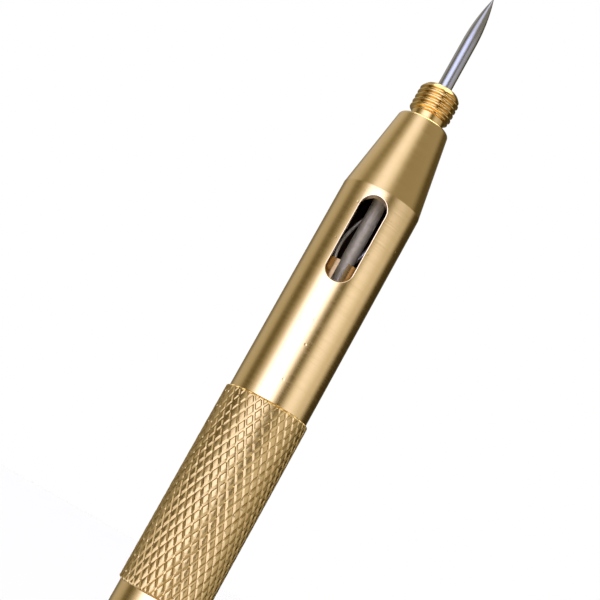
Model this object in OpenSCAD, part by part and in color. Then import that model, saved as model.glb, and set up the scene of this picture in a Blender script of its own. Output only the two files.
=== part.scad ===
// Pen-shaped hand awl with a push drive: a knurled brass barrel with a viewing slot, a threaded
// nipple at the nose, and a steel needle that springs forward and turns as it is pushed back.
// The axis is Z. The flat rear face is at z = 0, the needle points up, the slot faces -Y.

/* [Barrel] */
// Outside diameter of the smooth barrel
barrel_d = 12; // [10:0.1:16]
// Length of the smooth rear stretch, behind the grip
tail_len = 28.6; // [20:0.1:45]
// Length of the knurled grip
grip_len = 30; // [15:0.5:45]
// Diameter over the knurled grip
grip_d = 12.75; // [12.1:0.05:14]
// Length of the smooth stretch ahead of the grip
fore_len = 33.4; // [30:0.1:50]
// Length of the cone at the front
cone_len = 13.05; // [10:0.05:18]
// Diameter at the small end of the cone
cone_tip_d = 7.95; // [7.2:0.05:9]
// Chamfer where the cone ends and at each end of the grip
edge_break = 0.5; // [0.1:0.05:0.7]
// Wall round the rear bore
rear_wall = 1.2; // [1:0.05:1.6]
// Wall round the front bore
fore_wall = 1.6; // [1.3:0.05:2]

/* [Slot] */
// Width of the viewing slot
slot_w = 4; // [2:0.1:5]
// Length of the viewing slot, over its round ends
slot_len = 13.5; // [10:0.1:18]
// Distance from the slot to the start of the cone
slot_to_cone = 1.2; // [0.8:0.1:4]

/* [Nose] */
// Outside diameter of the nipple's thread
thread_d = 6.3; // [5.5:0.1:6.7]
// Length of the thread at full diameter
thread_len = 3.45; // [2:0.05:8]
// Length of the lead-in chamfer ahead of the thread
thread_lead = 1; // [0.4:0.1:2]
// Diameter at the front of the lead-in
thread_lead_d = 4.9; // [3.6:0.1:5.2]
// Diameter of the relief neck behind the thread
neck_d = 5.2; // [3.6:0.1:5.4]
// Length of the relief neck
neck_len = 1.3; // [0.4:0.05:3]
// Diameter of the nipple's shank inside the cone
shank_d = 5; // [4.4:0.1:5.4]
// Length of the nipple's shank inside the cone
shank_len = 8.35; // [6:0.05:9.5]

/* [Needle] */
// Diameter of the needle
needle_d = 2.2; // [1.5:0.05:2.8]
// Length of needle that stands out of the nipple
needle_out = 16.5; // [11:0.1:25]
// Length of the ogive point
point_len = 8; // [4:0.1:10]
// Distance that the needle can be pushed back
travel = 8.5; // [3:0.1:11]

/* [Drive] */
// Diameter of the spindle
spindle_d = 2.2; // [1.2:0.05:2.6]
// Diameter of the two spiral wires
wire_d = 0.6; // [0.3:0.01:0.7]
// Distance from the axis to the centre of each wire
wire_r = 2.15; // [1.8:0.01:2.6]
// Advance of a wire in one turn; the joint's coupling ratio is 2 pi over this lead
lead = 30; // [20:0.5:40]
// Angle between the two wires
wire_spacing = 125; // [120:1:180]
// Angle of the first wire at its front end
wire_phase = 85; // [0:1:360]
// Metal outside the wires on the chuck and on the tail collar
solder_rim = 0.425; // [0.2:0.025:0.6]
// Length of the chuck
chuck_len = 4.2; // [3.6:0.1:4.8]
// Diameter of the chuck's grub screws
grub_d = 1.2; // [0.8:0.1:1.4]
// Thickness of the rubber washer that the chuck stops against
bumper_t = 0.55; // [0.3:0.05:0.8]
// Length of the nut's slotted sleeve
sleeve_len = 10; // [7:0.1:14]
// Room between the wires and the bore of the nut's sleeve
sleeve_room = 0.225; // [0.12:0.005:0.4]
// Distance left between the chuck and the nut at full travel
nut_spare = 2.7; // [0.5:0.05:4]
// Width of the sleeve's lengthwise slot
sleeve_slot = 1.2; // [0.8:0.1:2]
// Thickness of the nut's guide plate
guide_t = 2; // [1:0.1:3]
// Thickness of the ring that holds the nut
retainer_t = 3; // [2:0.1:5]
// Gap between the holding ring and the tail collar at rest
collar_gap = 4.15; // [1:0.05:8]
// Length of the collar that joins the spindle and the wires at the rear
collar_len = 4; // [3:0.1:6]
// Diameter of the cross pin through that collar
pin_d = 1; // [0.6:0.1:1.2]

/* [Spring] */
// Thickness of the thrust washer
washer_t = 0.8; // [0.4:0.1:1.5]
// Length of the spring cup
cup_len = 9; // [7:0.1:12]
// Thickness of the cup's front wall
cup_wall = 2.4; // [1.5:0.1:3]
// Outside diameter of the return spring
spring_d = 6.2; // [5.6:0.1:6.6]
// Wire of the return spring
spring_wire = 0.7; // [0.5:0.05:0.8]
// Turns of the return spring between its closed ends
spring_turns = 12; // [8:1:16]
// Thickness of the pivot clip
clip_t = 0.6; // [0.4:0.1:0.8]
// Diameter of the pivot clip
clip_d = 3.6; // [3:0.1:4]

/* [End cap] */
// Length of the end cap's head
head_len = 8; // [5:0.1:15]
// Chamfer round the rear face
head_chamfer = 0.6; // [0.2:0.1:1.2]
// Length of the end cap's screwed plug
plug_len = 6; // [4:0.1:10]
// Section of the sealing ring
oring_d = 0.9; // [0.6:0.05:1.1]
// Length of the boss that centres the spring
boss_len = 2; // [1:0.1:4]

/* [Clearances] */
// Radial clearance of the needle in the nipple, and of the spindle in its guides
needle_gap = 0.05; // [0.02:0.01:0.09]
// Radial clearance of the spring cup in the barrel
cup_gap = 0.075; // [0.03:0.005:0.1]
// Gap round a wire where it passes the guide plate
wire_gap = 0.12; // [0.1:0.01:0.16]
// Gap between the chuck and the rubber washer at rest
stop_gap = 0.05; // [0.02:0.01:0.1]
// Radial gap round a grub screw's tip or a seal
seat_gap = 0.03; // [0.02:0.01:0.05]
// Radial gap between the spring and the cup, and between the spring and its boss
spring_gap = 0.25; // [0.15:0.05:0.4]

/* [Hidden] */

brass = "#c9a35a";
steel = "#9a9aa2";
rubber = "#2b2b2b";
nylon = "#e8e4d8";

$fn = 96;
// Overrun that lets one cut pass clean through a face
over = 0.1;
// Facets of the swept wires, the spring, the notches and the ogive
wire_steps = 36;
wire_sides = 8;
coil_steps = 15;
coil_sides = 6;
notch_steps = 8;
ogive_steps = 16;

// Share of the chuck's length that the spindle's socket takes
socket_share = 0.45;
// Depth of a grub screw's head below the chuck's surface, and its driver slot
grub_recess = 0.2;
grub_slot_w = 0.24;
grub_slot_depth = 0.3;
// Wrench slots across the holding ring's rear face
wrench_w = 1;
wrench_depth = 0.8;
wrench_inset = 0.4;
// Radial gaps of the rubber washer round the needle and of the thrust washer in the barrel
bumper_gap = 0.2;
washer_gap = 0.5;
// Depth of the pin's ends below the collar's surface
pin_inset = 0.1;
// Depth of the clip's groove in the spindle
clip_bite = 0.2;
// Length of the seal's groove and pitch of the spring's closed ends, over the section and the wire
groove_ease = 1.3;
closed_pitch = 1.05;

// Heights along the axis, from the rear face to the point
barrel_z = head_len;
grip_z = barrel_z + tail_len;
fore_z = grip_z + grip_len;
cone_z = fore_z + fore_len;
nose_z = cone_z + cone_len;
nipple_end_z = nose_z + neck_len + thread_len + thread_lead;
tip_z = nipple_end_z + needle_out;
slot_top_z = cone_z - slot_to_cone;
slot_low_z = slot_top_z - slot_len;

rear_bore_d = barrel_d - 2 * rear_wall;
fore_bore_d = barrel_d - 2 * fore_wall;
shank_z = nose_z - shank_len;

chuck_front_z = shank_z - bumper_t - stop_gap;
chuck_z = chuck_front_z - chuck_len;
nut_front_z = chuck_z - travel - nut_spare;
flange_z = nut_front_z - sleeve_len;
guide_z = flange_z - guide_t;
retainer_z = guide_z - retainer_t;
chuck_step_z = chuck_z + chuck_len * socket_share;
grub_rear_z = (chuck_z + chuck_step_z) / 2;
grub_front_z = (chuck_step_z + chuck_front_z) / 2;

collar_front_z = retainer_z - collar_gap;
collar_z = collar_front_z - collar_len;
cup_front_z = collar_z - washer_t;
cup_seat_z = cup_front_z - cup_wall;
cup_z = cup_front_z - cup_len;
clip_z = cup_seat_z - clip_t;
spindle_z = clip_z - clip_t;
plug_end_z = barrel_z + plug_len;

cup_d = rear_bore_d - 2 * cup_gap;
cup_bore_d = spring_d + 2 * spring_gap;
boss_d = spring_d - 2 * spring_wire - 2 * spring_gap;
sleeve_bore = 2 * (wire_r + wire_d / 2 + sleeve_room);
chuck_d = 2 * (wire_r + wire_d / 2 + solder_rim);
collar_d = chuck_d;
pivot_bore_d = spindle_d + 2 * needle_gap;
clip_groove_d = spindle_d - 2 * clip_bite;
thread_z = nose_z + neck_len;

// Angle of the first wire at height z; the wires are left-handed, so it falls with height
function wire_angle(z) = wire_phase + 360 * (chuck_z - z) / lead;
// Half angle of a guide notch: the wire's turn inside the plate, the wire itself and its gap
wire_half = (wire_d / 2) / cos(atan(2 * PI * wire_r / lead));
notch_half = 180 * guide_t / lead + (wire_half + wire_gap) / wire_r * 180 / PI;

// A straight rod or disc between two heights
module rod(d, z0, z1) {
    translate([0, 0, z0]) cylinder(d = d, h = z1 - z0);
}

// A bore that overruns both ends of what it cuts
module bore(d, z0, z1) {
    rod(d, z0 - over, z1 + over);
}

// A disc whose rim is chamfered at its low end
module low_chamfered(d, c, z0, z1) {
    translate([0, 0, z0]) cylinder(d1 = d - 2 * c, d2 = d, h = c);
    rod(d, z0 + c, z1);
}

// A disc whose rim is chamfered at its high end
module high_chamfered(d, c, z0, z1) {
    rod(d, z0, z1 - c);
    translate([0, 0, z1 - c]) cylinder(d1 = d, d2 = d - 2 * c, h = c);
}

// The round-ended cutter of the viewing slot, from the axis out through the -Y wall
module slot_cutter() {
    rotate([90, 0, 0]) linear_extrude(grip_d) union() {
        translate([0, slot_low_z + slot_w / 2]) circle(d = slot_w);
        translate([0, slot_top_z - slot_w / 2]) circle(d = slot_w);
        translate([-slot_w / 2, slot_low_z + slot_w / 2]) square([slot_w, slot_len - slot_w]);
    }
}

// A sector between two radii, centred on one angle, for a guide notch
module notch(angle, half, r0, r1, z0, z1) {
    translate([0, 0, z0 - over]) linear_extrude(z1 - z0 + 2 * over) polygon(concat(
        [for (i = [0:notch_steps]) let (a = angle - half + 2 * half * i / notch_steps)
            r1 * [cos(a), sin(a)]],
        [for (i = [0:notch_steps]) let (a = angle + half - 2 * half * i / notch_steps)
            r0 * [cos(a), sin(a)]]));
}

// A wire that winds round the axis, swept as a closed tube through the given points
module swept_wire(points, r, sides) {
    n = len(points);
    rings = [for (i = [0:n - 1])
        let (a = points[max(i - 1, 0)], b = points[min(i + 1, n - 1)],
             t = (b - a) / norm(b - a),
             out = [points[i][0], points[i][1], 0] / norm([points[i][0], points[i][1]]),
             v = cross(t, out), w = cross(v, t))
        for (k = [0:sides - 1]) points[i] + r * (cos(360 * k / sides) * w + sin(360 * k / sides) * v)];
    walls = [for (i = [0:n - 2]) for (k = [0:sides - 1])
        let (a = i * sides + k, b = i * sides + (k + 1) % sides, c = b + sides, d = a + sides)
        each [[a, b, c], [a, c, d]]];
    first = [for (k = [0:sides - 1]) sides - 1 - k];
    last = [for (k = [0:sides - 1]) (n - 1) * sides + k];
    polyhedron(points = rings, faces = concat(walls, [first, last]), convexity = 10);
}

// One spiral wire, cut flat at both ends where it is soldered to the chuck and the collar
module spiral_wire(offset) {
    length = chuck_z - collar_front_z;
    intersection() {
        swept_wire([for (i = [-1:wire_steps + 1])
            let (z = collar_front_z + length * i / wire_steps, a = wire_angle(z) + offset)
            [wire_r * cos(a), wire_r * sin(a), z]], wire_d / 2, wire_sides);
        rod(barrel_d, collar_front_z, chuck_z);
    }
}

module barrel() {
    color(brass) difference() {
        union() {
            rod(barrel_d, barrel_z, cone_z);
            low_chamfered(grip_d, edge_break, grip_z, grip_z + grip_len / 2);
            high_chamfered(grip_d, edge_break, grip_z + grip_len / 2, fore_z);
            translate([0, 0, cone_z])
                cylinder(d1 = barrel_d, d2 = cone_tip_d, h = cone_len - edge_break);
            translate([0, 0, nose_z - edge_break])
                cylinder(d1 = cone_tip_d, d2 = cone_tip_d - 2 * edge_break, h = edge_break);
        }
        bore(rear_bore_d, barrel_z, flange_z - over);
        rod(fore_bore_d, flange_z - over, shank_z);
        bore(shank_d, shank_z, nose_z);
        slot_cutter();
    }
}

module end_cap() {
    groove_d = rear_bore_d - 2 * oring_d;
    groove_end_z = head_len + oring_d * groove_ease;
    color(brass) difference() {
        union() {
            low_chamfered(barrel_d, head_chamfer, 0, head_len);
            rod(rear_bore_d, head_len, plug_end_z);
            rod(boss_d, plug_end_z, plug_end_z + boss_len);
        }
        difference() {
            rod(barrel_d + 2 * over, head_len, groove_end_z);
            bore(groove_d, head_len, groove_end_z);
        }
    }
}

module cap_oring() {
    color(rubber) translate([0, 0, head_len + oring_d * groove_ease / 2])
        rotate_extrude() translate([rear_bore_d / 2 - oring_d / 2, 0]) circle(d = oring_d - 2 * seat_gap);
}

module nose_nipple() {
    color(brass) difference() {
        union() {
            rod(shank_d, shank_z, nose_z);
            rod(neck_d, nose_z, thread_z);
            rod(thread_d, thread_z, thread_z + thread_len);
            translate([0, 0, thread_z + thread_len])
                cylinder(d1 = thread_d, d2 = thread_lead_d, h = thread_lead);
        }
        bore(needle_d + 2 * needle_gap, shank_z, nipple_end_z);
    }
}

module front_bumper() {
    color(rubber) difference() {
        rod(chuck_d, shank_z - bumper_t, shank_z);
        bore(needle_d + 2 * bumper_gap, shank_z - bumper_t, shank_z);
    }
}

module spiral_nut() {
    color(brass) difference() {
        union() {
            rod(rear_bore_d, guide_z, flange_z);
            rod(fore_bore_d, flange_z, nut_front_z);
        }
        rod(sleeve_bore, flange_z, nut_front_z + over);
        bore(pivot_bore_d, guide_z, flange_z);
        translate([-sleeve_slot / 2, -fore_bore_d, flange_z])
            cube([sleeve_slot, fore_bore_d, sleeve_len + over]);
        for (offset = [0, -wire_spacing])
            notch(wire_angle(guide_z + guide_t / 2) + offset, notch_half,
                  wire_r - wire_d / 2 - wire_gap, wire_r + wire_d / 2 + wire_gap,
                  guide_z, flange_z);
    }
}

module nut_retainer() {
    color(brass) difference() {
        rod(rear_bore_d, retainer_z, guide_z);
        bore(sleeve_bore, retainer_z, guide_z);
        for (a = [0, 180]) rotate([0, 0, a])
            translate([sleeve_bore / 2 + wrench_inset, -wrench_w / 2, retainer_z - over])
                cube([rear_bore_d / 2, wrench_w, wrench_depth + over]);
    }
}

// Points of the needle's ogive: an arc tangent to the shank
module needle() {
    r = needle_d / 2;
    rho = (r * r + point_len * point_len) / (2 * r);
    ogive = [for (i = [0:ogive_steps - 1]) let (h = point_len * i / ogive_steps)
        [sqrt(rho * rho - h * h) - (rho - r), tip_z - point_len + h]];
    color(steel) rotate_extrude() polygon(concat([[0, chuck_step_z], [r, chuck_step_z]], ogive,
                                                 [[0, tip_z]]));
}

module needle_chuck() {
    color(brass) difference() {
        rod(chuck_d, chuck_z, chuck_front_z);
        rod(spindle_d, chuck_z - over, chuck_step_z);
        rod(needle_d, chuck_step_z, chuck_front_z + over);
        translate([0, 0, grub_rear_z]) rotate([0, 90, 0]) cylinder(d = grub_d, h = chuck_d);
        translate([0, 0, grub_front_z]) rotate([0, 90, 0]) cylinder(d = grub_d, h = chuck_d);
    }
}

module chuck_screws() {
    color(steel) {
        grub(spindle_d / 2, grub_rear_z);
        grub(needle_d / 2, grub_front_z);
    }
}

// One grub screw, its flat tip just clear of the rod it holds, with a slot across its head
module grub(r, z) {
    tip = r + seat_gap;
    length = chuck_d / 2 - grub_recess - tip;
    translate([tip, 0, z]) rotate([0, 90, 0]) difference() {
        cylinder(d = grub_d, h = length);
        translate([-grub_d, -grub_slot_w / 2, length - grub_slot_depth])
            cube([2 * grub_d, grub_slot_w, grub_slot_depth + over]);
    }
}

module spindle() {
    color(steel) difference() {
        rod(spindle_d, spindle_z, chuck_step_z);
        difference() {
            rod(spindle_d + 2 * over, clip_z, clip_z + clip_t);
            bore(clip_groove_d, clip_z, clip_z + clip_t);
        }
        translate([-barrel_d / 2, 0, collar_z + collar_len / 2]) rotate([0, 90, 0])
            cylinder(d = pin_d, h = barrel_d);
    }
}

module spiral_wire_a() {
    color(steel) spiral_wire(0);
}

module spiral_wire_b() {
    color(steel) spiral_wire(-wire_spacing);
}

module tail_collar() {
    color(brass) difference() {
        rod(collar_d, collar_z, collar_front_z);
        bore(spindle_d, collar_z, collar_front_z);
        translate([-barrel_d / 2, 0, collar_z + collar_len / 2]) rotate([0, 90, 0])
            cylinder(d = pin_d, h = barrel_d);
    }
}

module collar_pin() {
    color(steel) translate([pin_inset - collar_d / 2, 0, collar_z + collar_len / 2])
        rotate([0, 90, 0]) cylinder(d = pin_d, h = collar_d - 2 * pin_inset);
}

module pivot_clip() {
    color(steel) difference() {
        rod(clip_d, clip_z, clip_z + clip_t);
        bore(clip_groove_d, clip_z, clip_z + clip_t);
        translate([-clip_groove_d / 2, 0, clip_z - over])
            cube([clip_groove_d, clip_d, clip_t + 2 * over]);
    }
}

module thrust_washer() {
    color(nylon) difference() {
        rod(cup_d - 2 * washer_gap, cup_front_z, collar_z);
        bore(pivot_bore_d, cup_front_z, collar_z);
    }
}

module spring_cup() {
    color(brass) difference() {
        rod(cup_d, cup_z, cup_front_z);
        rod(cup_bore_d, cup_z - over, cup_seat_z);
        bore(pivot_bore_d, cup_z, cup_front_z);
    }
}

// The return spring: closed end turns and evenly pitched working turns
module return_spring() {
    r = (spring_d - spring_wire) / 2;
    z0 = plug_end_z + spring_wire / 2;
    z1 = cup_seat_z - spring_wire / 2;
    close = spring_wire * closed_pitch;
    turns = spring_turns + 2;
    function height(u) = u < 1 ? z0 + close * u
        : u > turns - 1 ? z1 - close * (turns - u)
        : z0 + close + (z1 - z0 - 2 * close) * (u - 1) / (turns - 2);
    color(steel) swept_wire([for (i = [0:turns * coil_steps]) let (u = i / coil_steps)
        [r * cos(360 * u), r * sin(360 * u), height(u)]], spring_wire / 2, coil_sides);
}

barrel();
end_cap();
cap_oring();
nose_nipple();
front_bumper();
spiral_nut();
nut_retainer();
needle();
needle_chuck();
chuck_screws();
spindle();
spiral_wire_a();
spiral_wire_b();
tail_collar();
collar_pin();
pivot_clip();
thrust_washer();
spring_cup();
return_spring();
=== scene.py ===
"""Finished pieces, finishes, studio and camera of a brass hand awl with a push drive.

The classes hold their sizes in millimetres along the tool's own axis, and a length becomes metres
when a mesh is made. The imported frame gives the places; the classes add what the frame leaves plain,
such as the knurl, the screw thread and the broken edges.
"""
import logging
import math
from dataclasses import dataclass, field
from enum import Enum
from typing import Callable, Iterable

import bpy
from mathutils import Matrix, Vector


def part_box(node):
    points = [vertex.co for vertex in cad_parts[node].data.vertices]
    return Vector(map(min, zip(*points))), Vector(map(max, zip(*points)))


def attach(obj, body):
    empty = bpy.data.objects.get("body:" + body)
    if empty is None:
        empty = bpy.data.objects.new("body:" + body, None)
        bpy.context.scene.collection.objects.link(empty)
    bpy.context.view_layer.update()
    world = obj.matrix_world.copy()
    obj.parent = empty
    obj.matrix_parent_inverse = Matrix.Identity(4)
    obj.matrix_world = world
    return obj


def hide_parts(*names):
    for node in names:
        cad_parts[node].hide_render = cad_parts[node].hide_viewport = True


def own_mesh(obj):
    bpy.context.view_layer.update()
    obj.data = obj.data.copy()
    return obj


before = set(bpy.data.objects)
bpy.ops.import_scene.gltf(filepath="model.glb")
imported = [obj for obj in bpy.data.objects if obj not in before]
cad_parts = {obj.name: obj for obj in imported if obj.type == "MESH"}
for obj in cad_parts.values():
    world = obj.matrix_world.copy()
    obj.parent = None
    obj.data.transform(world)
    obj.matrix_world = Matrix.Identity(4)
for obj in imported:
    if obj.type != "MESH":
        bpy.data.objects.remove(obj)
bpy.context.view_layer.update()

MM = 0.001
FULL_TURN = 2 * math.pi
MERGE = 0.002 * MM
log = logging.getLogger("awl")

# Largest turn between two faces that is shaded smooth, in degrees. The barrel's stays below the
# turn of the slot's bevel, which would spoil the faces beside it.
SOFT_BARREL = 20
SOFT_NEEDLE = 25
SOFT_CAP = 28
SOFT_NIPPLE = 35
SOFT_WIRE = 50

# Shape of the fine marks, clouds and pits in every finish.
TURNED_STRETCH = 0.012
DRAWN_STRETCH = 0.02
MARK_DETAIL = 4.0
CLOUD_DETAIL = 2.0
NOISE_SPAN = (0.3, 0.7)
BUMP_HEIGHT = 0.02
PIT_CELLS = 420.0
PIT_EDGE = (0.04, 0.09)

# The two spiral wires at the chuck, in degrees.
WIRE_PHASE = 85.0
WIRE_SPACING = 125.0

# A ramp holds no colour above 1, so the light is divided by this and multiplied back.
HEADROOM = 4

Outline = list[tuple[float, float]]
Shade = tuple[float, float, float]
PairTest = Callable[[Vector, Vector], bool]
Socket = bpy.types.NodeSocket
Tree = bpy.types.NodeTree


# ---- bench tools


def put_down() -> None:
    """Leave edit mode and deselect everything."""
    if bpy.context.mode != "OBJECT":
        bpy.ops.object.mode_set(mode="OBJECT")
    bpy.ops.object.select_all(action="DESELECT")


def pick_up(piece: bpy.types.Object) -> None:
    """Make one piece the only selected and active one.

    Args:
        piece: The object to work on.
    """
    put_down()
    piece.select_set(True)
    bpy.context.view_layer.objects.active = piece


def edit_all(piece: bpy.types.Object) -> None:
    """Open a piece in edit mode with all of it selected.

    Args:
        piece: The mesh to open.
    """
    pick_up(piece)
    bpy.ops.object.mode_set(mode="EDIT")
    bpy.ops.mesh.select_mode(type="VERT")
    bpy.ops.mesh.select_all(action="SELECT")


def edit_bare(piece: bpy.types.Object, kind: str) -> None:
    """Clear a piece's selection in one select mode, and leave the piece in object mode.

    Args:
        piece: The mesh to clear.
        kind: FACE or EDGE.
    """
    pick_up(piece)
    bpy.ops.object.mode_set(mode="EDIT")
    bpy.ops.mesh.select_mode(type=kind)
    bpy.ops.mesh.select_all(action="DESELECT")
    bpy.ops.object.mode_set(mode="OBJECT")


def edit_faces(piece: bpy.types.Object, wanted: PairTest) -> None:
    """Open a piece in edit mode with only the faces selected that pass a test.

    Args:
        piece: The mesh to open.
        wanted: Takes a face's centre and normal, in metres.
    """
    edit_bare(piece, "FACE")
    for face in piece.data.polygons:
        face.select = wanted(face.center, face.normal)
    bpy.ops.object.mode_set(mode="EDIT")


def edit_edges(piece: bpy.types.Object, wanted: PairTest) -> None:
    """Open a piece in edit mode with only the edges selected that pass a test.

    Args:
        piece: The mesh to open.
        wanted: Takes the two ends of an edge, in metres.
    """
    edit_bare(piece, "EDGE")
    points = piece.data.vertices
    for edge in piece.data.edges:
        edge.select = wanted(points[edge.vertices[0]].co, points[edge.vertices[1]].co)
    bpy.ops.object.mode_set(mode="EDIT")


def tidy_skin(piece: bpy.types.Object) -> None:
    """Merge doubled points and turn every face outwards.

    Args:
        piece: The mesh to tidy.
    """
    edit_all(piece)
    bpy.ops.mesh.remove_doubles(threshold=MERGE)
    bpy.ops.mesh.normals_make_consistent(inside=False)
    put_down()


def smooth(piece: bpy.types.Object, degrees: float) -> None:
    """Shade a piece smooth, and keep the edges sharp that turn by more than an angle.

    Args:
        piece: The mesh to shade.
        degrees: The largest turn that is shaded smooth.
    """
    pick_up(piece)
    bpy.ops.object.shade_smooth_by_angle(angle=math.radians(degrees))
    put_down()


def settle(piece: bpy.types.Object) -> None:
    """Put a piece's place, turn and scale into its mesh.

    Args:
        piece: The object to settle.
    """
    pick_up(piece)
    bpy.ops.object.transform_apply(location=True, rotation=True, scale=True)
    put_down()


def trace(name: str, points: Iterable[Vector]) -> bpy.types.Object:
    """Draw a chain of edges by extruding one point from place to place.

    Args:
        name: The piece's name.
        points: The places, in metres.

    Returns:
        The new wire mesh.
    """
    route = list(points)
    put_down()
    bpy.ops.mesh.primitive_plane_add(size=MM)
    piece = bpy.context.active_object
    piece.name = name
    edit_all(piece)
    bpy.ops.mesh.merge(type="CENTER")
    bpy.ops.transform.translate(value=route[0])
    for here, there in zip(route, route[1:]):
        bpy.ops.mesh.extrude_region_move(TRANSFORM_OT_translate={"value": there - here})
    put_down()
    return piece


def turned(name: str, outline: Outline, segments: int) -> bpy.types.Object:
    """Turn a closed outline about the tool's axis, as on a lathe.

    Args:
        name: The piece's name.
        outline: Radius and height of each corner, in millimetres, ending where it began.
        segments: How many steps go round.

    Returns:
        The turned solid.
    """
    piece = trace(name, (Vector((r * MM, 0.0, z * MM)) for r, z in outline))
    edit_all(piece)
    bpy.ops.mesh.spin(steps=segments, angle=FULL_TURN, center=(0, 0, 0), axis=(0, 0, 1))
    put_down()
    tidy_skin(piece)
    return piece


def swept(name: str, route: list[Vector], diameter: float, roundness: int) -> bpy.types.Object:
    """Sweep a round wire along a route and close its ends.

    Args:
        name: The piece's name.
        route: The wire's middle line, in metres.
        diameter: The wire's diameter, in millimetres.
        roundness: How finely the wire's section is rounded.

    Returns:
        The wire as a closed mesh.
    """
    piece = trace(name, route)
    pick_up(piece)
    bpy.ops.object.convert(target="CURVE")
    piece = bpy.context.active_object
    piece.data.bevel_depth = diameter / 2 * MM
    piece.data.bevel_resolution = roundness
    piece.data.use_fill_caps = True
    bpy.ops.object.convert(target="MESH")
    piece = bpy.context.active_object
    tidy_skin(piece)
    smooth(piece, SOFT_WIRE)
    return piece


def apply_cut(piece: bpy.types.Object, cutter: bpy.types.Object) -> None:
    """Cut one solid out of another and throw the cutter away.

    Args:
        piece: The solid that is cut.
        cutter: The solid that is taken away.
    """
    pick_up(piece)
    cut = piece.modifiers.new("cut", "BOOLEAN")
    cut.operation = "DIFFERENCE"
    cut.solver = "EXACT"
    cut.object = cutter
    bpy.ops.object.modifier_apply(modifier=cut.name)
    bpy.data.objects.remove(cutter)
    tidy_skin(piece)


def arc(
    centre: tuple[float, float], radius: float, start: float, end: float, steps: int
) -> Outline:
    """Points along a round stretch of an outline.

    Args:
        centre: Radius and height of the arc's centre.
        radius: The arc's radius.
        start: Angle of the first point in degrees, 0 pointing outwards and 90 to the tip.
        end: Angle of the last point.
        steps: Number of chords.

    Returns:
        The points, both ends included.
    """
    turns = [math.radians(start + (end - start) * i / steps) for i in range(steps + 1)]
    return [(centre[0] + radius * math.cos(t), centre[1] + radius * math.sin(t)) for t in turns]


def helix_point(radius: float, turn: float, z: float) -> Vector:
    """A place by its radius, angle in radians and height in millimetres, given in metres."""
    return Vector((radius * math.cos(turn), radius * math.sin(turn), z)) * MM


def height(node: str) -> tuple[float, float]:
    """Lowest and highest point of a CAD node along the axis, in millimetres."""
    low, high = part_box(node)
    return low.z / MM, high.z / MM


def width(node: str) -> float:
    """Diameter of a CAD node, in millimetres, measured across X."""
    low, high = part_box(node)
    return (high.x - low.x) / MM


# ---- finishes


def remapped(
    tree: Tree,
    value: Socket,
    span: tuple[float, float],
    result: tuple[float, float] = (0.0, 1.0),
    kind: str = "LINEAR",
) -> Socket:
    """Map a value from one span to another and hold it at the ends.

    Args:
        tree: The nodes to add to.
        value: The value's socket.
        span: The value's two ends.
        result: What the two ends become.
        kind: The node's interpolation.

    Returns:
        The mapped value.
    """
    node = tree.nodes.new("ShaderNodeMapRange")
    node.interpolation_type = kind
    for name, number in zip(("From Min", "From Max", "To Min", "To Max"), (*span, *result)):
        node.inputs[name].default_value = number
    tree.links.new(value, node.inputs["Value"])
    return node.outputs["Result"]


def worked_out(
    tree: Tree, kind: str, *values: float | Socket
) -> Socket:
    """Add one Math node.

    Args:
        tree: The nodes to add to.
        kind: The node's operation.
        values: Its numbers or sockets, in order.

    Returns:
        The result.
    """
    node = tree.nodes.new("ShaderNodeMath")
    node.operation = kind
    for socket, value in zip(node.inputs, values):
        if isinstance(value, (int, float)):
            socket.default_value = value
        else:
            tree.links.new(value, socket)
    return node.outputs["Value"]


class Grain(Enum):
    """How a surface was last worked, which sets the direction of its fine marks."""

    TURNED = "turned"
    DRAWN = "drawn"
    MOULDED = "moulded"


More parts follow.
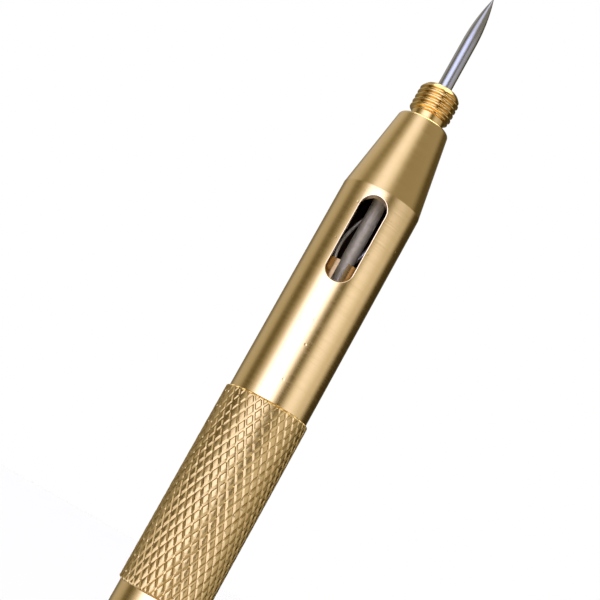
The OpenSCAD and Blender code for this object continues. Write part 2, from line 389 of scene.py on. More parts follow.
@dataclass(frozen=True)
class Finish:
    """A procedural surface finish.

    Attributes:
        name: The material's name.
        slot: The record's material slot; not used.
        shade: Base colour, linear.
        second: Colour of the faint cloudy patches.
        metallic: 1 for metal, 0 for anything else.
        polish: Lowest and highest roughness.
        grain: Direction of the fine marks.
        pitch: Spacing of the fine marks, in millimetres.
        relief: Depth of the fine marks' shading, 0 to 1.
        patch: Size of the cloudy patches, in millimetres.
        pits: Strength of the sparse pits, 0 for none.
    """

    name: str
    slot: str
    shade: Shade
    second: Shade
    metallic: float
    polish: tuple[float, float]
    grain: Grain
    pitch: float
    relief: float
    patch: float
    pits: float = 0.0

    def stretch(self) -> tuple[float, float, float]:
        """Scale of the fine marks along X, Y and Z.

        Returns:
            The mapping scale, in marks per metre.
        """
        fine = 1.0 / (self.pitch * MM)
        if self.grain is Grain.TURNED:
            return (fine * TURNED_STRETCH, fine * TURNED_STRETCH, fine)
        if self.grain is Grain.DRAWN:
            return (fine, fine, fine * DRAWN_STRETCH)
        return (fine, fine, fine)

    def made(self) -> bpy.types.Material:
        """Build the material's nodes.

        Returns:
            The material.
        """
        paint = bpy.data.materials.new(self.name)
        paint.use_nodes = True
        tree = paint.node_tree
        shader = tree.nodes["Principled BSDF"]
        shader.inputs["Metallic"].default_value = self.metallic
        place = tree.nodes.new("ShaderNodeTexCoord").outputs["Object"]

        marks = self.noise(tree, place, self.stretch(), detail=MARK_DETAIL)
        clouds = self.noise(tree, place, (1.0 / (self.patch * MM),) * 3, detail=CLOUD_DETAIL)

        blend = tree.nodes.new("ShaderNodeMix")
        blend.data_type = "RGBA"
        blend.inputs["A"].default_value = (*self.shade, 1.0)
        blend.inputs["B"].default_value = (*self.second, 1.0)
        tree.links.new(clouds, blend.inputs["Factor"])
        tree.links.new(blend.outputs["Result"], shader.inputs["Base Color"])

        gloss = remapped(tree, marks, NOISE_SPAN, self.polish)
        tree.links.new(gloss, shader.inputs["Roughness"])

        bump = tree.nodes.new("ShaderNodeBump")
        bump.inputs["Strength"].default_value = self.relief
        bump.inputs["Distance"].default_value = BUMP_HEIGHT * MM
        tree.links.new(self.with_pits(tree, place, marks), bump.inputs["Height"])
        tree.links.new(bump.outputs["Normal"], shader.inputs["Normal"])
        return paint

    def noise(
        self,
        tree: Tree,
        place: Socket,
        scale: tuple[float, float, float],
        detail: float,
    ) -> Socket:
        """Add a noise field stretched by a mapping.

        Args:
            tree: The material's nodes.
            place: The coordinates to read.
            scale: Cells per metre along each axis.
            detail: Octaves of the noise.

        Returns:
            The noise's value.
        """
        mapping = tree.nodes.new("ShaderNodeMapping")
        mapping.inputs["Scale"].default_value = scale
        field = tree.nodes.new("ShaderNodeTexNoise")
        field.inputs["Scale"].default_value = 1.0
        field.inputs["Detail"].default_value = detail
        tree.links.new(place, mapping.inputs["Vector"])
        tree.links.new(mapping.outputs["Vector"], field.inputs["Vector"])
        return field.outputs["Fac"]

    def with_pits(
        self,
        tree: Tree,
        place: Socket,
        marks: Socket,
    ) -> Socket:
        """Sink sparse small pits into the fine marks.

        Args:
            tree: The material's nodes.
            place: The coordinates to read.
            marks: The height of the fine marks.

        Returns:
            The combined height.
        """
        if self.pits == 0.0:
            return marks
        cells = tree.nodes.new("ShaderNodeTexVoronoi")
        cells.inputs["Scale"].default_value = PIT_CELLS
        tree.links.new(place, cells.inputs["Vector"])
        pit = remapped(tree, cells.outputs["Distance"], PIT_EDGE, (-self.pits, 0.0))
        return worked_out(tree, "ADD", marks, pit)


SATIN_BRASS = Finish(
    "satin_brass", "brass", (0.79, 0.565, 0.250), (0.83, 0.600, 0.285), 1.0, (0.15, 0.25),
    Grain.TURNED, 0.13, 0.34, 2.2, pits=2.0,
)
MILLED_BRASS = Finish(
    "milled_brass", "brass", (0.86, 0.63, 0.33), (0.80, 0.58, 0.28), 1.0, (0.16, 0.24),
    Grain.MOULDED, 0.20, 0.05, 1.0,
)
# Painted shade: the barrel's brass darkened on the knurled grip, standing in for the light its
# grooves and facets lose; its rougher gloss is the knurl's own.
GRIP_PAINTED_SHADE_BRASS = Finish(
    "grip_painted_shade_brass", "brass", (0.50, 0.340, 0.125), (0.58, 0.405, 0.155), 1.0, (0.22, 0.34),
    Grain.MOULDED, 0.18, 0.20, 1.6,
)
# Painted shade: near-black brass on the bore walls, standing in for the shadow inside the barrel.
BORE_PAINTED_SHADE = Finish(
    "bore_painted_shade", "brass", (0.10, 0.055, 0.025), (0.07, 0.036, 0.015), 1.0, (0.35, 0.50),
    Grain.TURNED, 0.15, 0.20, 1.5,
)
SHADED_BRASS = Finish(
    "shaded_brass", "brass", (0.40, 0.26, 0.11), (0.26, 0.16, 0.06), 1.0, (0.18, 0.30),
    Grain.TURNED, 0.15, 0.20, 1.5,
)
BRIGHT_BRASS = Finish(
    "bright_brass", "brass_bright", (0.66, 0.44, 0.15), (0.74, 0.51, 0.20), 1.0, (0.12, 0.20),
    Grain.TURNED, 0.08, 0.10, 1.5,
)
GROUND_STEEL = Finish(
    "ground_steel", "needle_steel", (0.42, 0.42, 0.43), (0.50, 0.50, 0.51), 1.0, (0.14, 0.30),
    Grain.DRAWN, 0.07, 0.30, 1.0,
)
DRAWN_STEEL = Finish(
    "drawn_steel", "spindle_steel", (0.84, 0.74, 0.52), (0.56, 0.48, 0.33), 0.40, (0.50, 0.70),
    Grain.DRAWN, 0.22, 0.80, 0.6,
)
SPRING_STEEL = Finish(
    "spring_steel", "spring_wire", (0.98, 0.93, 0.80), (0.95, 0.89, 0.75), 0.55, (0.20, 0.28),
    Grain.MOULDED, 0.15, 0.08, 1.0,
)
BLACK_STEEL = Finish(
    "black_steel", "dark_steel", (0.055, 0.055, 0.06), (0.09, 0.09, 0.095), 1.0, (0.30, 0.45),
    Grain.MOULDED, 0.12, 0.20, 0.8,
)
RUBBER = Finish(
    "seal_rubber", "rubber", (0.018, 0.018, 0.018), (0.03, 0.03, 0.03), 0.0, (0.55, 0.75),
    Grain.MOULDED, 0.12, 0.30, 1.0,
)
NYLON = Finish(
    "natural_nylon", "nylon", (0.74, 0.71, 0.62), (0.80, 0.77, 0.69), 0.0, (0.35, 0.50),
    Grain.MOULDED, 0.20, 0.15, 1.2,
)


class PaintShop:
    """Makes each finish once and puts it on pieces."""

    def __init__(self) -> None:
        """Start with no finish made."""
        self.made: dict[str, bpy.types.Material] = {}

    def coat(self, finish: Finish) -> bpy.types.Material:
        """The material of a finish, made at its first use."""
        if finish.name not in self.made:
            self.made[finish.name] = finish.made()
        return self.made[finish.name]

    def dress(self, piece: bpy.types.Object, finish: Finish) -> None:
        """Put a finish on a whole piece.

        Args:
            piece: The piece to finish.
            finish: Its finish.
        """
        piece.data.materials.clear()
        piece.data.materials.append(self.coat(finish))

    def touch_up(
        self,
        piece: bpy.types.Object,
        finish: Finish,
        wanted: PairTest,
    ) -> None:
        """Put a second finish on some of a piece's faces.

        Args:
            piece: The piece, already finished once.
            finish: The second finish.
            wanted: Takes a face's centre and normal, in metres.
        """
        piece.data.materials.append(self.coat(finish))
        piece.active_material_index = len(piece.data.materials) - 1
        edit_faces(piece, wanted)
        bpy.ops.object.material_slot_assign()
        put_down()


def deliver(piece: bpy.types.Object, body: str, stands_for: str) -> None:
    """Hand a finished piece over to the frame.

    Args:
        piece: The finished piece.
        body: The CAD body that it moves with.
        stands_for: The CAD node that it replaces.
    """
    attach(piece, body)
    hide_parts(stands_for)
    log.info("%s rides on %s: %d faces", piece.name, body, len(piece.data.polygons))


# ---- barrel


@dataclass
class Knurl:
    """A diamond knurl: two crossing sets of V grooves round the grip.

    Attributes:
        starts: Grooves of each hand, counted round the grip.
        cuts: Lattice steps from one groove to the next.
        pitch: Length of a diamond along the axis, in millimetres.
        depth: Depth of a groove below the diamonds' tops.
        half_width: Half the width of a groove, as a share of a diamond.
        crown: Fall of a diamond's top from its middle to its edges.
        slope: Rise of the end chamfer for each millimetre along the axis.
    """

    starts: int = 32
    cuts: int = 7
    pitch: float = 2.4
    depth: float = 0.16
    half_width: float = 0.20
    crown: float = 0.035
    slope: float = 1.6

    def groove(self, place: float) -> float:
        """How deep a groove is at a place counted in grooves, from 0 on a top to 1 at its root."""
        return max(0.0, 1.0 - abs(place - round(place)) / self.half_width)

    def radius(self, turn: float, rise: float, from_end: float, top: float, root: float) -> float:
        """Radius of the knurled surface.

        Args:
            turn: Angle round the axis, in turns.
            rise: Distance from the knurl's rear end, in diamonds.
            from_end: Distance to the nearer end, in millimetres.
            top: Radius over the diamonds.
            root: Radius of the plain barrel beside the knurl.

        Returns:
            The radius, in millimetres.
        """
        places = (turn * self.starts + rise, turn * self.starts - rise)
        deep = max(self.groove(place) for place in places)
        at_corner = 0.5
        off_middle = sum((place % 1.0 - 0.5) ** 2 for place in places) / at_corner
        return min(top - self.depth * deep - self.crown * off_middle, root + from_end * self.slope)


@dataclass
class Barrel:
    """The barrel: knurled grip, slotted fore end and cone, bored from both ends.

    Attributes:
        grip_len: Length of the knurled grip.
        fore_len: Length of the smooth stretch ahead of the grip.
        cone_len: Length of the cone.
        cone_tip: Diameter of the cone's small end.
        cone_edge: Rounding of the cone's small end.
        cone_side: Turn of the cone's side from the axis, in degrees.
        cone_soft: Length over which the start of the cone is eased, to each side.
        fore_bore: Diameter of the bore behind the slot.
        nose_bore: Diameter of the bore through the cone's small end.
        guide: Thickness of the spiral nut's plate, which seats on the bore's step.
        rear_edge: Rounding of the rear end.
        slot_width: Width of the viewing slot.
        slot_length: Length of the viewing slot.
        slot_gap: Distance from the slot to the cone.
        rim: Width of the slot's broken edge.
        knurl: The grip's knurl.
    """

    grip_len: float = 30.0
    fore_len: float = 33.4
    cone_len: float = 13.05
    cone_tip: float = 7.95
    cone_edge: float = 0.5
    cone_side: float = 9
    cone_soft: float = 0.12
    fore_bore: float = 8.8
    nose_bore: float = 5.0
    guide: float = 2.0
    rear_edge: float = 0.15
    slot_width: float = 4.0
    slot_length: float = 13.5
    slot_gap: float = 1.2
    rim: float = 0.12
    knurl: Knurl = field(default_factory=Knurl)

    def __post_init__(self) -> None:
        """Read the places from the frame."""
        self.low, self.nose = height("barrel")
        self.radius = width("end_cap") / 2
        self.grip_radius = width("barrel") / 2
        self.rear_bore = width("nut_retainer") / 2
        self.step = height("spiral_nut")[0] + self.guide
        self.shoulder = height("nose_nipple")[0]
        self.cone = self.nose - self.cone_len
        self.grip_top = self.cone - self.fore_len
        self.grip_low = self.grip_top - self.grip_len
        self.slot_top = self.cone - self.slot_gap
        self.slot_low = self.slot_top - self.slot_length

    def outline(self) -> Outline:
        """The barrel's section, with one row of points for each lattice step of the knurl.

        Returns:
            The closed outline.
        """
        rows = round(self.grip_len / self.knurl.pitch * self.knurl.cuts)
        grip = [(self.radius, self.grip_low + self.grip_len * i / rows) for i in range(rows + 1)]
        tip = self.cone_tip / 2 - self.cone_edge
        hole = self.nose_bore / 2
        rear = self.rear_edge
        rear_row, front_row = 1.5, 0.4
        fall, full_fall = 0.010, 0.045
        return [
            (self.rear_bore, self.low),
            (self.radius - rear, self.low),
            *arc((self.radius - rear, self.low + rear), rear, -60, 0, 3),
            (self.radius, self.low + rear_row),
            *grip,
            (self.radius, self.grip_top + front_row),
            (self.radius, self.cone - self.cone_soft),
            (self.radius - fall, self.cone),
            (self.radius - full_fall, self.cone + self.cone_soft),
            *arc((tip, self.nose - self.cone_edge), self.cone_edge, self.cone_side, 90, 7),
            (hole, self.nose),
            (hole, self.shoulder),
            (self.fore_bore / 2, self.shoulder),
            (self.fore_bore / 2, self.step),
            (self.rear_bore, self.step),
            (self.rear_bore, self.low),
        ]

    def make(self, shop: PaintShop) -> None:
        """Turn, knurl, slot and finish the barrel.

        Args:
            shop: Where the finishes are made.
        """
        segments = self.knurl.starts * self.knurl.cuts
        piece = turned("barrel_shell", self.outline(), segments)
        self.press_knurl(piece)
        apply_cut(piece, self.slot_cutter())
        self.break_rim(piece)
        smooth(piece, SOFT_BARREL)
        shop.dress(piece, SATIN_BRASS)
        shop.touch_up(piece, MILLED_BRASS, self.in_slot)
        # The knurled grip gets brass darkened with painted shade.
        shop.touch_up(piece, GRIP_PAINTED_SHADE_BRASS, lambda at, out: self.in_grip(at))
        # The bore walls get painted shade in place of the shadow inside the barrel.
        shop.touch_up(piece, BORE_PAINTED_SHADE, lambda at, out: self.in_bore(at))
        deliver(piece, "barrel", "barrel")

    def in_grip(self, at: Vector) -> bool:
        """Whether a place lies on the knurled grip."""
        off_bore = 0.1
        outside = math.hypot(at.x, at.y) / MM > self.rear_bore + off_bore
        return outside and self.grip_low < at.z / MM < self.grip_top

    def in_slot(self, at: Vector, out: Vector) -> bool:
        """Whether a face lies on the slot's milled wall or its broken edge."""
        facing_out, off_bore = 0.97, 0.03
        reach = math.hypot(at.x, at.y)
        round_face = abs(out.x * at.x + out.y * at.y) > facing_out * reach
        in_wall = reach / MM > self.fore_bore / 2 + off_bore
        return at.y < 0 and in_wall and not round_face and self.off_slot(at) < self.rim

    def in_bore(self, at: Vector) -> bool:
        """Whether a place lies on the wall of a bore, where shade is painted into the brass."""
        off_end, past_shoulder, off_bore = 0.2, 0.01, 0.05
        reach = math.hypot(at.x, at.y) / MM
        z = at.z / MM
        bore = self.rear_bore if z < self.step else self.fore_bore / 2
        deep = self.low + off_end < z < self.shoulder + past_shoulder
        return deep and reach < bore + off_bore

    def press_knurl(self, piece: bpy.types.Object) -> None:
        """Poke the grip's faces into a diagonal lattice and press the grooves into it.

        Args:
            piece: The turned barrel.
        """
        under_skin = 0.3
        low, top = self.grip_low * MM, self.grip_top * MM
        wall = (self.radius - under_skin) * MM
        edit_faces(piece, lambda at, out: low < at.z < top and math.hypot(at.x, at.y) > wall)
        bpy.ops.mesh.poke()
        put_down()
        for point in piece.data.vertices:
            at = point.co
            reach = math.hypot(at.x, at.y)
            if reach < wall or not low - MERGE < at.z < top + MERGE:
                continue
            from_end = min(at.z - low, top - at.z) / MM
            turn = math.atan2(at.y, at.x) / FULL_TURN
            rise = (at.z - low) / MM / self.knurl.pitch
            radius = self.knurl.radius(turn, rise, from_end, self.grip_radius, self.radius)
            at.x *= radius * MM / reach
            at.y *= radius * MM / reach

    def slot_cutter(self) -> bpy.types.Object:
        """A round-ended bar that reaches from the axis out through the front wall.

        Returns:
            The cutter.
        """
        round_steps = 20
        middle = (self.slot_low + self.slot_top) / 2
        through = (0, -2 * self.radius * MM, 0)
        put_down()
        bpy.ops.mesh.primitive_plane_add(
            size=1, location=(0, 0, middle * MM), rotation=(math.pi / 2, 0, 0)
        )
        cutter = bpy.context.active_object
        cutter.scale = (self.slot_width * MM, self.slot_length * MM, 1)
        settle(cutter)
        edit_all(cutter)
        corner = self.slot_width / 2 * MM
        bpy.ops.mesh.bevel(offset=corner, segments=round_steps, affect="VERTICES")
        bpy.ops.mesh.remove_doubles(threshold=MERGE)
        bpy.ops.mesh.extrude_region_move(TRANSFORM_OT_translate={"value": through})
        put_down()
        tidy_skin(cutter)
        return cutter

    def off_slot(self, at: Vector) -> float:
        """Distance of a point from the slot's outline, seen from the front, in millimetres."""
        straight = (self.slot_length - self.slot_width) / 2
        middle = (self.slot_low + self.slot_top) / 2
        beyond = max(0.0, abs(at.z / MM - middle) - straight)
        return abs(math.hypot(at.x / MM, beyond) - self.slot_width / 2)

    def break_rim(self, piece: bpy.types.Object) -> None:
        """Bevel the slot's outer and inner rims.

        Args:
            piece: The slotted barrel.
        """
        near = 0.02
        inner_share = 0.5

        def on_rim(at: Vector, radius: float) -> bool:
            """Whether a point lies on the slot's rim at a radius."""
            on_skin = abs(math.hypot(at.x, at.y) / MM - radius) < near
            return on_skin and at.y < 0 and self.off_slot(at) < near

        for radius, share in ((self.radius, 1.0), (self.fore_bore / 2, inner_share)):
            edit_edges(piece, lambda a, b: on_rim(a, radius) and on_rim(b, radius))
            bpy.ops.mesh.bevel(offset=self.rim * share * MM, segments=2, affect="EDGES")
            put_down()


# ---- nose


@dataclass
class Nipple:
    """The threaded nose piece that guides the needle.

    Attributes:
        pitch: Pitch of the thread.
        depth: Depth of the thread.
        neck: Length of the relief neck.
        neck_width: Diameter of the relief neck.
        full: Length of the thread at full diameter.
        lead_end: Diameter at the front of the lead-in.
        shank: Diameter of the shank inside the cone.
        bore: Diameter of the needle's hole.
        segments: Steps round the thread.
        rows: Rows of points in one pitch.
        crest: Half the width of a crest, as a share of half the pitch.
        flank: Width of a flank, as a share of half the pitch.
        edge: Chamfer at both ends of the thread and on the needle's hole.
    """

    pitch: float = 0.8
    depth: float = 0.38
    neck: float = 1.3
    neck_width: float = 5.2
    full: float = 3.45
    lead_end: float = 4.9
    shank: float = 5.0
    bore: float = 2.3
    segments: int = 96
    rows: int = 14
    crest: float = 0.2
    flank: float = 0.62
    edge: float = 0.12

    def __post_init__(self) -> None:
        """Read the places from the frame."""
        self.low, self.high = height("nose_nipple")
        self.radius = width("nose_nipple") / 2
        self.seat = height("barrel")[1]
        self.start = self.seat + self.neck
        self.lead = self.start + self.full

    def outline(self) -> Outline:
        """The nipple's section, with close rows where the thread is cut.

        Returns:
            The closed outline.
        """
        last_row, first_row, face_edge = 0.05, 0.1, 0.18
        steps = round((self.high - last_row - self.start) / self.pitch * self.rows)
        rise = (self.high - last_row - self.start) / steps
        return [
            (self.bore / 2, self.low),
            (self.shank / 2, self.low),
            (self.shank / 2, self.seat),
            (self.neck_width / 2, self.seat),
            (self.neck_width / 2, self.start - first_row),
            *[(self.radius, self.start + rise * i) for i in range(steps + 1)],
            (self.lead_end / 2 - face_edge, self.high),
            (self.bore / 2 + self.edge, self.high),
            (self.bore / 2, self.high - self.edge),
            (self.bore / 2, self.low),
        ]

    def limit(self, z: float) -> float:
        """Largest radius at a height: the thread's crest, or the lead-in where it has begun."""
        rear_slope, bulge_height = 1.4, 0.10
        rear = self.neck_width / 2 + (z - self.start + self.edge) * rear_slope
        share = (z - self.lead) / (self.high - self.lead)
        if share <= 0:
            return min(self.radius, rear)
        bulge = bulge_height * math.sin(math.pi * min(share, 1.0))
        return self.radius + (self.lead_end / 2 - self.radius) * share + bulge

    def cut(self, turn: float, z: float) -> float:
        """Depth of the thread's groove at a place, from 0 on a crest to 1 at its root."""
        place = (z - self.start) / self.pitch - turn
        off_crest = abs(place - round(place)) * 2
        return min(1.0, max(0.0, (off_crest - self.crest) / self.flank))

    def make(self, shop: PaintShop) -> None:
        """Turn the nipple, cut its thread and finish it.

        Args:
            shop: Where the finishes are made.
        """
        skin, below = 0.95, 0.01
        piece = turned("nose_nipple_threaded", self.outline(), self.segments)
        for point in piece.data.vertices:
            at = point.co
            z = at.z / MM
            reach = math.hypot(at.x, at.y)
            if reach < self.radius * MM * skin or z < self.start - below:
                continue
            turn = math.atan2(at.y, at.x) / FULL_TURN
            thread = self.radius - self.depth * self.cut(turn, z)
            radius = min(thread, self.limit(z)) * MM
            at.x *= radius / reach
            at.y *= radius / reach
        smooth(piece, SOFT_NIPPLE)
        shop.dress(piece, BRIGHT_BRASS)
        deliver(piece, "barrel", "nose_nipple")


@dataclass
class Needle:
    """The steel needle with its ground ogive point.

    Attributes:
        point_len: Length of the ogive.
        steps: Chords along the ogive.
        segments: Steps round the needle.
        rear_edge: Chamfer at the rear end.
        blunt: Radius and length of the blunt at the tip.
    """

    point_len: float = 8.0
    steps: int = 22
    segments: int = 64
    rear_edge: float = 0.15
    blunt: tuple[float, float] = (0.035, 0.03)

    def outline(self) -> Outline:
        """The needle's half section, an arc tangent to the shank.

        Returns:
            The closed outline, from the axis at the rear to the tip.
        """
        low, tip = height("needle")
        r = width("needle") / 2
        rho = (r * r + self.point_len ** 2) / (2 * r)
        ogive = []
        for i in range(self.steps):
            h = self.point_len * i / self.steps
            ogive.append((math.sqrt(rho * rho - h * h) - (rho - r), tip - self.point_len + h))
        rear = [(0, low), (r - self.rear_edge, low), (r, low + self.rear_edge)]
        return [*rear, *ogive, (self.blunt[0], tip - self.blunt[1]), (0, tip)]

    def make(self, shop: PaintShop) -> None:
        """Turn and finish the needle.

        Args:
            shop: Where the finishes are made.
        """
        piece = turned("needle_ground", self.outline(), self.segments)
        smooth(piece, SOFT_NEEDLE)
        shop.dress(piece, GROUND_STEEL)
        deliver(piece, "needle", "needle")


# ---- drive


@dataclass
class SpiralWire:
    """One of the two wires that wind round the spindle.

    Attributes:
        name: The piece's name.
        node: The CAD node that it replaces.
        angle: Its angle at the chuck, in degrees.
        diameter: The wire's diameter.
        radius: Distance from the axis to the wire's middle.
        lead: Advance of the wire in one turn.
        steps: Chords along the wire.
    """

    name: str
    node: str
    angle: float
    diameter: float = 0.6
    radius: float = 2.15
    lead: float = 30.0
    steps: int = 60

    def make(self, shop: PaintShop) -> None:
        """Wind and finish the wire.

        Args:
            shop: Where the finishes are made.
        """
        low, high = height(self.node)
        route = []
        for i in range(self.steps + 1):
            z = low + (high - low) * i / self.steps
            turn = math.radians(self.angle) + FULL_TURN * (high - z) / self.lead
            route.append(helix_point(self.radius, turn, z))
        piece = swept(self.name, route, self.diameter, 3)
        shop.dress(piece, SPRING_STEEL)
        deliver(piece, "needle", self.node)


@dataclass
class ReturnSpring:
    """The compression spring in the handle.

    Attributes:
        wire: Diameter of the spring's wire.
        working: Turns between the closed ends.
        steps: Points in one turn.
        travel: Distance that the cup squeezes it; not used.
        closed: Pitch of the closed end turns, in wire diameters.
    """

    wire: float = 0.7
    working: int = 12
    steps: int = 28
    travel: float = 8.5
    closed: float = 1.05

    def make(self, shop: PaintShop) -> None:
        """Wind and finish the spring, and give it a mesh of its own.

        Args:
            shop: Where the finishes are made.
        """
        low, high = height("return_spring")
        radius = width("return_spring") / 2 - self.wire / 2
        base, top = low + self.wire / 2, high - self.wire / 2
        closed = self.wire * self.closed
        turns = self.working + 2
        route = []
        for i in range(turns * self.steps + 1):
            u = i / self.steps
            if u < 1:
                z = base + closed * u
            elif u > turns - 1:
                z = top - closed * (turns - u)
            else:
                z = base + closed + (top - base - 2 * closed) * (u - 1) / self.working
            turn = FULL_TURN * u
            route.append(helix_point(radius, turn, z))
        piece = swept("return_spring_coil", route, self.wire, 2)
        shop.dress(piece, SPRING_STEEL)
        deliver(piece, "barrel", "return_spring")
        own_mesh(piece)


@dataclass
class EndCap:
    """The screwed end cap at the rear.

    Attributes:
        chamfer: Chamfer round the rear face.
        groove: Width of the decorative groove near the barrel.
        groove_at: Distance from the groove to the barrel.
        groove_deep: Depth of that groove.
        edge: Small chamfer where the cap meets the barrel.
        dimple: Radius of the turned recess in the rear face.
        dish: Depth of that recess at its edge and in the middle.
        seat: Depth and length of the sealing ring's seat.
        lead_in: Chamfer of the plug and of the spring's boss.
        boss: Radius of the boss that centres the spring.
        segments: Steps round the cap.
    """

    chamfer: float = 0.6
    groove: float = 0.6
    groove_at: float = 1.2
    groove_deep: float = 0.28
    edge: float = 0.12
    dimple: float = 2.0
    dish: tuple[float, float] = (0.3, 0.35)
    seat: tuple[float, float] = (0.9, 1.17)
    lead_in: float = 0.3
    boss: float = 2.15
    segments: int = 128

    def make(self, shop: PaintShop) -> None:
        """Turn and finish the cap.

        Args:
            shop: Where the finishes are made.
        """
        low, high = height("end_cap")
        r = width("end_cap") / 2
        plug = width("nut_retainer") / 2
        head = height("barrel")[0]
        end = height("return_spring")[0]
        c, g, lead = self.chamfer, self.groove, self.lead_in
        floor = r - self.groove_deep
        front = head - self.groove_at
        seat, seat_len = self.seat
        inner, outer = 0.28, 0.25
        ease_in, ease_out = 0.1, 0.15
        wall = 0.28
        outline = [
            (0, low + self.dish[1]),
            (self.dimple - self.dish[0], low + self.dish[0]),
            (self.dimple, low),
            (r - c - ease_in, low),
            *arc((r - c, low + inner), inner, -80, -50, 3),
            *arc((r - outer, low + c + ease_out), outer, -40, 0, 3),
            (r, front - g),
            (floor, front - g * (1 - wall)),
            (floor, front - g * wall),
            (r, front),
            (r, head - self.edge),
            (r - self.edge, head),
            (plug - seat, head),
            (plug - seat, head + seat_len),
            (plug, head + seat_len),
            (plug, end - lead),
            (plug - lead, end),
            (self.boss, end),
            (self.boss, high - lead),
            (self.boss - lead, high),
            (0, high),
        ]
        piece = turned("end_cap_turned", outline, self.segments)
        smooth(piece, SOFT_CAP)
        shop.dress(piece, SATIN_BRASS)
        deliver(piece, "barrel", "end_cap")


CAD_FINISHES = {
    "cap_oring": RUBBER,
    "front_bumper": RUBBER,
    "spiral_nut": SHADED_BRASS,
    "nut_retainer": SATIN_BRASS,
    "needle_chuck": SATIN_BRASS,
    "chuck_screws": BLACK_STEEL,
    "spindle": DRAWN_STEEL,
    "tail_collar": SATIN_BRASS,
    "collar_pin": BLACK_STEEL,
    "pivot_clip": BLACK_STEEL,
    "thrust_washer": NYLON,
    "spring_cup": SATIN_BRASS,
}


# ---- studio


@dataclass(frozen=True)
class Card:
    """One stop of the light that rings the tool.

    Attributes:
        bearing: Degrees round the axis from the camera, to the camera's right.
        light: Brightness of the surroundings there.
    """

    bearing: float
    light: float

    def colour(self) -> tuple[float, float, float, float]:
        """The card's colour: a dim card is warm and a bright one clean white.

        Returns:
            The colour, divided so that it fits a ramp.
        """
        neutral, tint = 0.7, 0.97
        green_rise, blue_rise = 0.09, 0.50
        step = self.light / neutral
        light = self.light / HEADROOM
        return (light, light * tint * step ** green_rise, light * tint * step ** blue_rise, 1.0)


LOW_RING = (
    Card(-180, 0.12), Card(-150, 0.25), Card(-134, 0.52), Card(-120, 0.56),
    Card(-105, 0.50), Card(-93, 0.19), Card(-82, 0.13),
    Card(-70, 0.34), Card(-57, 0.90), Card(-42, 2.2), Card(-14, 2.7), Card(2, 1.75), Card(10, 0.72),
    Card(16, 0.19), Card(22, 0.12), Card(29, 0.38), Card(39, 0.97), Card(48, 1.24), Card(60, 1.20),
    Card(72, 1.0), Card(84, 0.80), Card(98, 0.76), Card(107, 0.42), Card(117, 0.07),
    Card(150, 0.04), Card(180, 0.3),
)
HIGH_RING = (
    Card(-180, 0.25), Card(-140, 0.62), Card(-116, 0.62),
    Card(-100, 0.48), Card(-84, 0.26), Card(-72, 0.30),
    Card(-56, 0.62), Card(-42, 1.15), Card(-26, 1.28), Card(-6, 0.98), Card(8, 0.50),
    Card(20, 0.32), Card(92, 0.38), Card(104, 0.26), Card(116, 0.10), Card(150, 0.10),
    Card(180, 0.4),
)
UNDER_RING = (
    Card(-180, 0.15), Card(-120, 0.40), Card(-92, 0.14), Card(-64, 0.9), Card(-36, 1.7),
    Card(-4, 2.4), Card(24, 2.2), Card(44, 1.0), Card(72, 0.8), Card(104, 0.30), Card(122, 0.06),
    Card(180, 0.15),
)


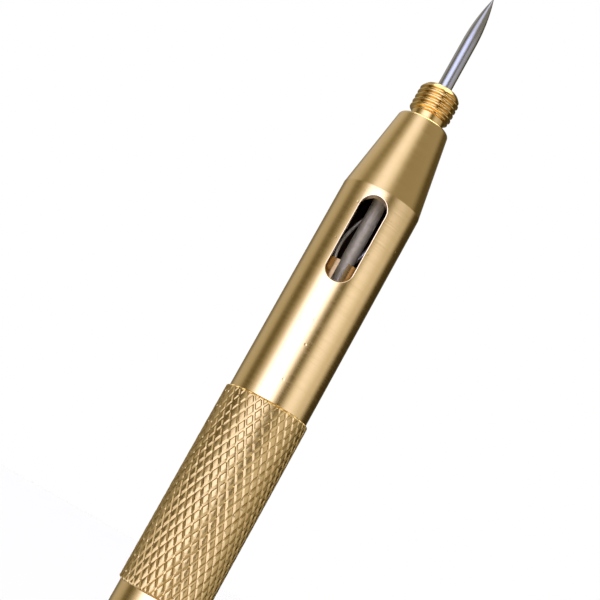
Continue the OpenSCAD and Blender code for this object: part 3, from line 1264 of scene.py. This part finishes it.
@dataclass
class Studio:
    """A pale floor, a white backdrop and a ring of soft light round the tool.

    Attributes:
        facing: Azimuth of the camera that the ring is set for, in degrees.
        low_top: Height at which the low ring starts to give way, in degrees.
        high_start: Height at which the high ring has taken over, in degrees.
        under_top: Heights between which the ring below gives way to the low ring.
        dome_start: Heights between which the high ring gives way to the light above.
        overhead: Brightness straight above.
        lamp_power: Strength of the soft lamp above.
        lamp_spread: How wide the lamp is, in degrees.
        floor_size: Side of the floor, in metres.
    """

    facing: float
    low_top: float = 16.0
    high_start: float = 25.0
    under_top: tuple[float, float] = (-18.0, -6.0)
    dome_start: tuple[float, float] = (50.0, 72.0)
    overhead: float = 1.6
    lamp_power: float = 1.1
    lamp_spread: float = 60.0
    floor_size: float = 6.0

    def ring(
        self, tree: Tree, turn: Socket, cards: tuple[Card, ...]
    ) -> Socket:
        """Build one ring of light as a ramp round the axis.

        Args:
            tree: The world's nodes.
            turn: Bearing from 0 to 1, where 0.5 is the camera's own.
            cards: The ring's stops.

        Returns:
            The ring's colour, divided by the headroom.
        """
        ramp = tree.nodes.new("ShaderNodeValToRGB")
        stops = ramp.color_ramp.elements
        stops[0].position, stops[1].position = 0.0, 1.0
        for card, stop in ((cards[0], stops[0]), (cards[-1], stops[1])):
            stop.color = card.colour()
        for card in cards[1:-1]:
            stop = stops.new(card.bearing / 360 + 0.5)
            stop.color = card.colour()
        tree.links.new(turn, ramp.inputs["Fac"])
        return ramp.outputs["Color"]

    def blend(
        self,
        tree: Tree,
        share: Socket,
        a: Socket,
        b: Socket,
    ) -> Socket:
        """Mix two colours by a share.

        Args:
            tree: The world's nodes.
            share: 0 for a, 1 for b.
            a: Colour socket.
            b: Colour socket.

        Returns:
            The mixed colour.
        """
        node = tree.nodes.new("ShaderNodeMix")
        node.data_type = "RGBA"
        tree.links.new(share, node.inputs["Factor"])
        tree.links.new(a, node.inputs["A"])
        tree.links.new(b, node.inputs["B"])
        return node.outputs["Result"]

    def light(self) -> None:
        """Build the world: the ring of light for the tool, plain white for the backdrop."""
        world = bpy.data.worlds.new("studio")
        bpy.context.scene.world = world
        world.use_nodes = True
        tree = world.node_tree
        tree.nodes.clear()
        way = tree.nodes.new("ShaderNodeSeparateXYZ")
        coords = tree.nodes.new("ShaderNodeTexCoord")
        tree.links.new(coords.outputs["Generated"], way.inputs["Vector"])
        back = worked_out(tree, "MULTIPLY", way.outputs["Y"], -1.0)
        bearing = worked_out(tree, "ARCTAN2", way.outputs["X"], back)
        offset = 0.5 - self.facing / 360 + 1.0
        turn = worked_out(tree, "MULTIPLY_ADD", bearing, 1 / FULL_TURN, offset)
        turn = worked_out(tree, "FRACT", turn)
        up = worked_out(tree, "ARCSINE", way.outputs["Z"])

        def rise(low: float, high: float) -> Socket:
            """A smooth step from 0 at one height to 1 at another, in degrees."""
            span = (math.radians(low), math.radians(high))
            return remapped(tree, up, span, kind="SMOOTHSTEP")

        overhead = tree.nodes.new("ShaderNodeRGB")
        overhead.outputs[0].default_value = (self.overhead / HEADROOM,) * 3 + (1,)
        low = self.ring(tree, turn, LOW_RING)
        high = self.ring(tree, turn, HIGH_RING)
        under = self.ring(tree, turn, UNDER_RING)
        front = self.blend(tree, rise(*self.under_top), under, low)
        sides = self.blend(tree, rise(self.low_top, self.high_start), front, high)
        dome = self.blend(tree, rise(*self.dome_start), sides, overhead.outputs[0])

        soft = tree.nodes.new("ShaderNodeBackground")
        soft.inputs["Strength"].default_value = HEADROOM
        tree.links.new(dome, soft.inputs["Color"])
        plain = tree.nodes.new("ShaderNodeBackground")
        plain.inputs["Color"].default_value = (1, 1, 1, 1)
        seen = tree.nodes.new("ShaderNodeLightPath")
        pick = tree.nodes.new("ShaderNodeMixShader")
        tree.links.new(seen.outputs["Is Camera Ray"], pick.inputs["Fac"])
        tree.links.new(soft.outputs["Background"], pick.inputs[1])
        tree.links.new(plain.outputs["Background"], pick.inputs[2])
        out = tree.nodes.new("ShaderNodeOutputWorld")
        tree.links.new(pick.outputs["Shader"], out.inputs["Surface"])

    def floor(self) -> None:
        """Lay the pale floor that the tool stands on."""
        put_down()
        bpy.ops.mesh.primitive_plane_add(size=self.floor_size, location=(0, 0, 0))
        floor = bpy.context.active_object
        floor.name = "floor"
        paint = bpy.data.materials.new("floor_white")
        paint.use_nodes = True
        shader = paint.node_tree.nodes["Principled BSDF"]
        shader.inputs["Base Color"].default_value = (0.92, 0.92, 0.92, 1)
        shader.inputs["Roughness"].default_value = 0.9
        floor.data.materials.append(paint)
        floor.visible_glossy = False

    def lamp(self) -> None:
        """Hang a wide soft lamp straight above, which evens out the floor."""
        put_down()
        bpy.ops.object.light_add(type="SUN", location=(0, 0, 1))
        lamp = bpy.context.active_object
        lamp.name = "soft_lamp"
        lamp.data.energy = self.lamp_power
        lamp.data.angle = math.radians(self.lamp_spread)


@dataclass
class Camera:
    """The camera, placed by the way it looks at the tool.

    Attributes:
        azimuth: Where it stands round the axis, 0 in front of the slot's side.
        elevation: Its height as an angle, below 0 when it looks up at the tool.
        lean: How far the tool leans to the right in the picture.
        distance: Distance from the tool, in millimetres.
        aim: Height on the axis that it looks at, in millimetres.
        aside: How far left of the axis it looks, in millimetres.
        lens: Focal length, in millimetres.
        sensor: Width of the sensor, in millimetres.
        nearest: Closest distance that is drawn, in metres.
    """

    azimuth: float = 5.8
    elevation: float = -10.5
    lean: float = 29.26
    distance: float = 203.4
    aim: float = 81.75
    aside: float = 3.23
    lens: float = 87.0
    sensor: float = 36.0
    nearest: float = 0.01

    def set_up(self) -> None:
        """Place the camera and make it the scene's own."""
        a, e, lean = (math.radians(x) for x in (self.azimuth, self.elevation, self.lean))
        back = Vector((math.sin(a) * math.cos(e), -math.cos(a) * math.cos(e), math.sin(e)))
        right = Vector((math.cos(a), math.sin(a), 0))
        up = back.cross(right)
        target = Vector((0, 0, self.aim * MM)) - right * self.aside * MM
        put_down()
        bpy.ops.object.camera_add(location=target + back * self.distance * MM)
        camera = bpy.context.active_object
        turned_right = right * math.cos(lean) + up * math.sin(lean)
        turned_up = up * math.cos(lean) - right * math.sin(lean)
        axes = Matrix((turned_right, turned_up, back)).transposed()
        camera.rotation_euler = axes.to_euler()
        camera.data.lens = self.lens
        camera.data.sensor_width = self.sensor
        camera.data.clip_start = self.nearest
        bpy.context.scene.camera = camera


def main() -> None:
    """Build the tool, the studio and the camera."""
    logging.basicConfig(level=logging.INFO, format="%(name)s: %(message)s")
    bpy.context.scene.view_settings.view_transform = "Standard"
    camera = Camera()
    camera.set_up()
    studio = Studio(facing=camera.azimuth)
    studio.light()
    studio.floor()
    studio.lamp()

    shop = PaintShop()
    Barrel().make(shop)
    Nipple().make(shop)
    Needle().make(shop)
    SpiralWire("spiral_wire_left", "spiral_wire_a", WIRE_PHASE).make(shop)
    SpiralWire("spiral_wire_right", "spiral_wire_b", WIRE_PHASE - WIRE_SPACING).make(shop)
    ReturnSpring().make(shop)
    EndCap().make(shop)
    for node, finish in CAD_FINISHES.items():
        shop.dress(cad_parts[node], finish)
        log.info("%s keeps its CAD shape in %s", node, finish.name)


if __name__ == "__main__":
    main()
